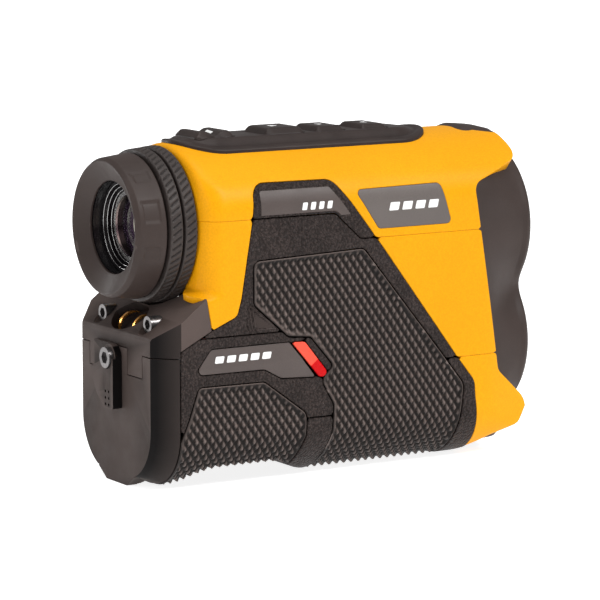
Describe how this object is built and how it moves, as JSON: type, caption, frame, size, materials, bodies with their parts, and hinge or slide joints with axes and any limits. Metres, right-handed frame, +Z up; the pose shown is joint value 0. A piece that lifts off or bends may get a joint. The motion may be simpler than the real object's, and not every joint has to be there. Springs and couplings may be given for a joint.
{
  "type": "handheld laser rangefinder",
  "caption": "Handheld laser rangefinder monocular with a rubber-gripped housing, twist-up eyepiece, top keypad, twin-lens front and hinged battery door.",
  "frame": {"origin": "on the supporting surface, under the centre of the bounding box", "axes": "+X forward along the optical axis, +Y to the left side, +Z up"},
  "size_m": [0.123, 0.0508, 0.0933],
  "materials": {
    "housing": "satin yellow moulding",
    "grip_rubber": "fine-grained black rubber",
    "knurl_rubber": "knurled black rubber",
    "badge_grey": "satin grey",
    "accent_red": "satin red",
    "soft_black": "smooth soft-touch black",
    "moulded_black": "finely textured black",
    "cell_black": "black anodised",
    "optical_glass": "coated",
    "ring_metal": "bright turned",
    "screw_steel": "dark zinc plated",
    "contact_gold": "gold plated",
    "insert_brass": "turned",
    "contact_steel": "bright",
    "seal_rubber": "matte",
    "inner_plastic": "matte",
    "cell_jacket": "printed film over a steel can",
    "chassis_metal": "die cast",
    "board_green": "solder mask",
    "keypad_rubber": "matte black"
  },
  "bodies": {
    "housing": {"upper_housing": "housing", "main_housing": "housing", "lower_housing": "housing", "upper_grip_right": "grip_rubber", "upper_grip_left": "grip_rubber", "main_grip_right": "grip_rubber", "main_grip_left": "grip_rubber", "lower_grip": "grip_rubber", "main_pad_right": "knurl_rubber", "main_pad_left": "knurl_rubber", "rear_pad_right": "knurl_rubber", "rear_pad_left": "knurl_rubber", "badge_right": "badge_grey", "badge_left": "badge_grey", "name_plate_right": "badge_grey", "name_plate_left": "badge_grey", "accent_right": "accent_red", "accent_left": "accent_red", "front_bezel": "soft_black", "rear_block": "moulded_black", "objective_cell": "cell_black", "receiver_cell": "cell_black", "objective_lens": "optical_glass", "receiver_lens": "optical_glass", "roof_prism": "optical_glass", "eyepiece_tube": "cell_black", "block_screws": "screw_steel", "chassis_screws": "screw_steel", "hinge_pin": "screw_steel", "contact_leaves": "contact_gold", "cell_springs": "contact_gold", "tripod_insert": "insert_brass", "door_seal": "seal_rubber", "battery_holder": "inner_plastic", "cell_right": "cell_jacket", "cell_left": "cell_jacket", "optical_chassis": "chassis_metal", "display_module": "inner_plastic", "laser_module": "chassis_metal", "receiver_module": "inner_plastic", "main_board": "board_green", "keypad_board": "board_green", "dome_switches": "contact_steel", "keypad_surround": "keypad_rubber"},
    "power_key": {"power_button": "keypad_rubber"},
    "mode_key": {"mode_button": "keypad_rubber"},
    "up_key": {"up_button": "keypad_rubber"},
    "down_key": {"down_button": "keypad_rubber"},
    "eyecup": {"eyecup": "soft_black"},
    "eyecup_ring": {"eyecup_ring": "moulded_black"},
    "diopter_ring": {"diopter_ring": "moulded_black"},
    "ocular": {"ocular_cell": "cell_black", "ocular_lens": "optical_glass", "ocular_ring": "ring_metal"},
    "door": {"battery_door": "moulded_black", "door_contact": "contact_gold"},
    "latch": {"door_latch": "moulded_black", "latch_screw": "screw_steel"}
  },
  "joints": [
    {"name": "power_press", "type": "slide", "parent": "housing", "child": "power_key", "axis": [0, 0, -1], "range_m": [0, 0.0008], "stiffness_N_per_m": 1500},
    {"name": "mode_press", "type": "slide", "parent": "housing", "child": "mode_key", "axis": [0, 0, -1], "range_m": [0, 0.0008], "stiffness_N_per_m": 1500},
    {"name": "up_press", "type": "slide", "parent": "housing", "child": "up_key", "axis": [0, 0, -1], "range_m": [0, 0.0008], "stiffness_N_per_m": 1500},
    {"name": "down_press", "type": "slide", "parent": "housing", "child": "down_key", "axis": [0, 0, -1], "range_m": [0, 0.0008], "stiffness_N_per_m": 1500},
    {"name": "eyecup_twist", "type": "hinge", "parent": "housing", "child": "eyecup_ring", "pos_m": [-0.0505, 0, 0.0687], "axis": [-1, 0, 0], "range_deg": [0, 90]},
    {"name": "eyecup_slide", "type": "slide", "parent": "housing", "child": "eyecup", "axis": [-1, 0, 0], "range_m": [0, 0.005]},
    {"name": "diopter_twist", "type": "hinge", "parent": "housing", "child": "diopter_ring", "pos_m": [-0.0463, 0, 0.0687], "axis": [-1, 0, 0], "range_deg": [-60, 60]},
    {"name": "ocular_focus", "type": "slide", "parent": "housing", "child": "ocular", "axis": [-1, 0, 0], "range_m": [-0.0015, 0.0015]},
    {"name": "door_hinge", "type": "hinge", "parent": "housing", "child": "door", "pos_m": [-0.055, 0, 0.0025], "axis": [0, -1, 0], "range_deg": [0, 80]},
    {"name": "latch_turn", "type": "hinge", "parent": "door", "child": "latch", "pos_m": [-0.059, 0, 0.034], "axis": [1, 0, 0], "range_deg": [0, 90]}
  ],
  "couplings": [
    {"joint": "eyecup_twist", "follows": "eyecup_slide", "rad_per_m": 314.16},
    {"joint": "diopter_twist", "follows": "ocular_focus", "rad_per_m": 698.13}
  ]
}
